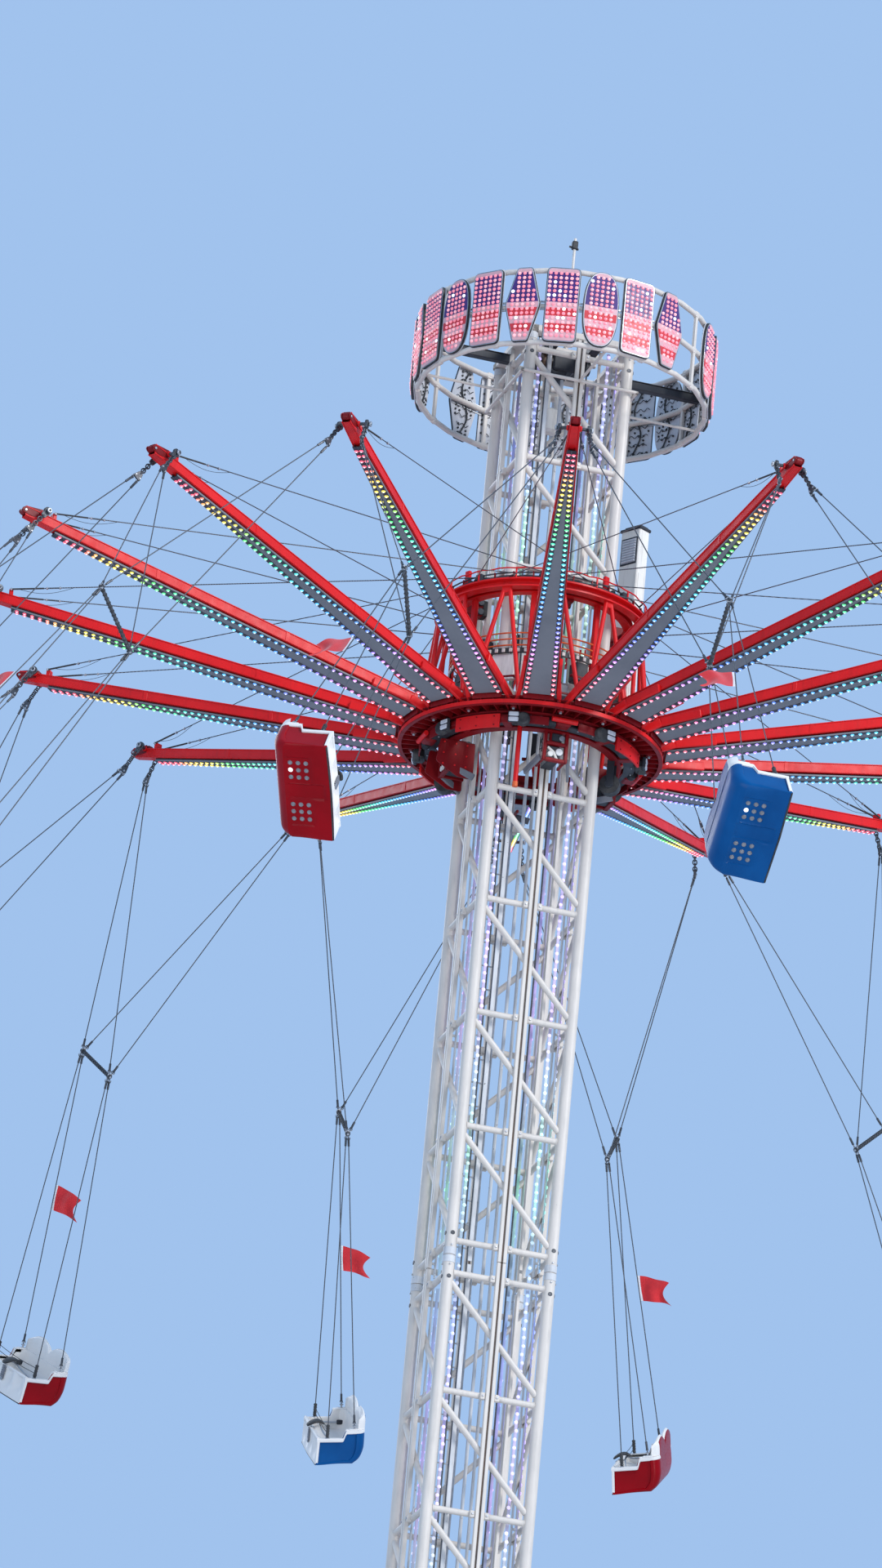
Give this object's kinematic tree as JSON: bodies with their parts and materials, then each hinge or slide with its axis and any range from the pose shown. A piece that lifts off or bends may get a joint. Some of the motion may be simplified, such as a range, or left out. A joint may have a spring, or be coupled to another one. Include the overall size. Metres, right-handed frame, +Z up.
{
  "type": "swing tower fairground ride, 1:2 scale model",
  "caption": "Lattice mast with a rising, turning star of arms that swings two-seat gondolas outwards on ropes.",
  "frame": {"origin": "middle of the base plate's underside, on the ground", "axes": "+Z up the mast; X and Y square to the mast's faces; -Y is the face seen in the picture"},
  "size_m": [11.9882, 11.9761, 25.67],
  "materials": {
    "white_paint": "satin white paint",
    "rail_steel": "worn grey-white rail",
    "sign_panels": "pink panel with lamps",
    "red_paint": "gloss red paint",
    "dark_steel": "black and grey machine paint",
    "rope_steel": "galvanised wire rope",
    "cabinet_paint": "off-white powder coat",
    "red_shell": "moulded gloss shell",
    "blue_shell": "moulded gloss shell"
  },
  "bodies": {
    "mast": {"base_pedestal": "white_paint", "outrigger_1": "white_paint", "outrigger_2": "white_paint", "outrigger_3": "white_paint", "outrigger_4": "white_paint", "mast_section_1": "white_paint", "mast_section_2": "white_paint", "mast_section_3": "white_paint", "mast_section_4": "white_paint", "guide_rails": "rail_steel", "mast_head": "white_paint", "crown_frame": "white_paint", "crown_sign_front": "sign_panels", "crown_sign_back": "sign_panels"},
    "carriage": {"carriage_frame": "red_paint", "bearing_ring": "dark_steel"},
    "star": {"arm_quarter_1": "red_paint", "arm_quarter_2": "red_paint", "arm_quarter_3": "red_paint", "arm_quarter_4": "red_paint", "upper_ring": "red_paint", "stay_ropes": "rope_steel", "control_cabinet": "cabinet_paint"},
    "gondola_body_01": {"suspension_01": "rope_steel", "gondola_01": "red_shell"},
    "gondola_body_02": {"suspension_02": "rope_steel", "gondola_02": "blue_shell"},
    "gondola_body_03": {"suspension_03": "rope_steel", "gondola_03": "red_shell"},
    "gondola_body_04": {"suspension_04": "rope_steel", "gondola_04": "blue_shell"},
    "gondola_body_05": {"suspension_05": "rope_steel", "gondola_05": "red_shell"},
    "gondola_body_06": {"suspension_06": "rope_steel", "gondola_06": "blue_shell"},
    "gondola_body_07": {"suspension_07": "rope_steel", "gondola_07": "red_shell"},
    "gondola_body_08": {"suspension_08": "rope_steel", "gondola_08": "blue_shell"},
    "gondola_body_09": {"suspension_09": "rope_steel", "gondola_09": "red_shell"},
    "gondola_body_10": {"suspension_10": "rope_steel", "gondola_10": "blue_shell"},
    "gondola_body_11": {"suspension_11": "rope_steel", "gondola_11": "red_shell"},
    "gondola_body_12": {"suspension_12": "rope_steel", "gondola_12": "blue_shell"},
    "gondola_body_13": {"suspension_13": "rope_steel", "gondola_13": "red_shell"},
    "gondola_body_14": {"suspension_14": "rope_steel", "gondola_14": "blue_shell"},
    "gondola_body_15": {"suspension_15": "rope_steel", "gondola_15": "red_shell"},
    "gondola_body_16": {"suspension_16": "rope_steel", "gondola_16": "blue_shell"}
  },
  "joints": [
    {"name": "lift", "type": "slide", "parent": "mast", "child": "carriage", "axis": [0, 0, 1], "range_m": [-18, 0.4]},
    {"name": "star_spin", "type": "hinge", "parent": "carriage", "child": "star", "pos_m": [0, 0, 22.2], "axis": [0, 0, 1], "continuous": true},
    {"name": "swing_01", "type": "hinge", "parent": "star", "child": "gondola_body_01", "pos_m": [3.08808, 1.06331, 22.915], "axis": [0.3256, -0.9455, 0], "range_deg": [-37, 13]},
    {"name": "swing_02", "type": "hinge", "parent": "star", "child": "gondola_body_02", "pos_m": [2.4461, 2.16413, 22.915], "axis": [0.6626, -0.749, 0], "range_deg": [-37, 13]},
    {"name": "swing_03", "type": "hinge", "parent": "star", "child": "gondola_body_03", "pos_m": [1.43173, 2.93547, 22.915], "axis": [0.8988, -0.4384, 0], "range_deg": [-37, 13]},
    {"name": "swing_04", "type": "hinge", "parent": "star", "child": "gondola_body_04", "pos_m": [0.19939, 3.25992, 22.915], "axis": [0.9981, -0.061, 0], "range_deg": [-37, 13]},
    {"name": "swing_05", "type": "hinge", "parent": "star", "child": "gondola_body_05", "pos_m": [-1.06331, 3.08808, 22.915], "axis": [0.9455, 0.3256, 0], "range_deg": [-37, 13]},
    {"name": "swing_06", "type": "hinge", "parent": "star", "child": "gondola_body_06", "pos_m": [-2.16413, 2.4461, 22.915], "axis": [0.749, 0.6626, 0], "range_deg": [-37, 13]},
    {"name": "swing_07", "type": "hinge", "parent": "star", "child": "gondola_body_07", "pos_m": [-2.93547, 1.43173, 22.915], "axis": [0.4384, 0.8988, 0], "range_deg": [-37, 13]},
    {"name": "swing_08", "type": "hinge", "parent": "star", "child": "gondola_body_08", "pos_m": [-3.25992, 0.19939, 22.915], "axis": [0.061, 0.9981, 0], "range_deg": [-37, 13]},
    {"name": "swing_09", "type": "hinge", "parent": "star", "child": "gondola_body_09", "pos_m": [-3.08808, -1.06331, 22.915], "axis": [-0.3256, 0.9455, 0], "range_deg": [-37, 13]},
    {"name": "swing_10", "type": "hinge", "parent": "star", "child": "gondola_body_10", "pos_m": [-2.4461, -2.16413, 22.915], "axis": [-0.6626, 0.749, 0], "range_deg": [-37, 13]},
    {"name": "swing_11", "type": "hinge", "parent": "star", "child": "gondola_body_11", "pos_m": [-1.43173, -2.93547, 22.915], "axis": [-0.8988, 0.4384, 0], "range_deg": [-37, 13]},
    {"name": "swing_12", "type": "hinge", "parent": "star", "child": "gondola_body_12", "pos_m": [-0.19939, -3.25992, 22.915], "axis": [-0.9981, 0.061, 0], "range_deg": [-37, 13]},
    {"name": "swing_13", "type": "hinge", "parent": "star", "child": "gondola_body_13", "pos_m": [1.06331, -3.08808, 22.915], "axis": [-0.9455, -0.3256, 0], "range_deg": [-37, 13]},
    {"name": "swing_14", "type": "hinge", "parent": "star", "child": "gondola_body_14", "pos_m": [2.16413, -2.4461, 22.915], "axis": [-0.749, -0.6626, 0], "range_deg": [-37, 13]},
    {"name": "swing_15", "type": "hinge", "parent": "star", "child": "gondola_body_15", "pos_m": [2.93547, -1.43173, 22.915], "axis": [-0.4384, -0.8988, 0], "range_deg": [-37, 13]},
    {"name": "swing_16", "type": "hinge", "parent": "star", "child": "gondola_body_16", "pos_m": [3.25992, -0.19939, 22.915], "axis": [-0.061, -0.9981, 0], "range_deg": [-37, 13]}
  ]
}
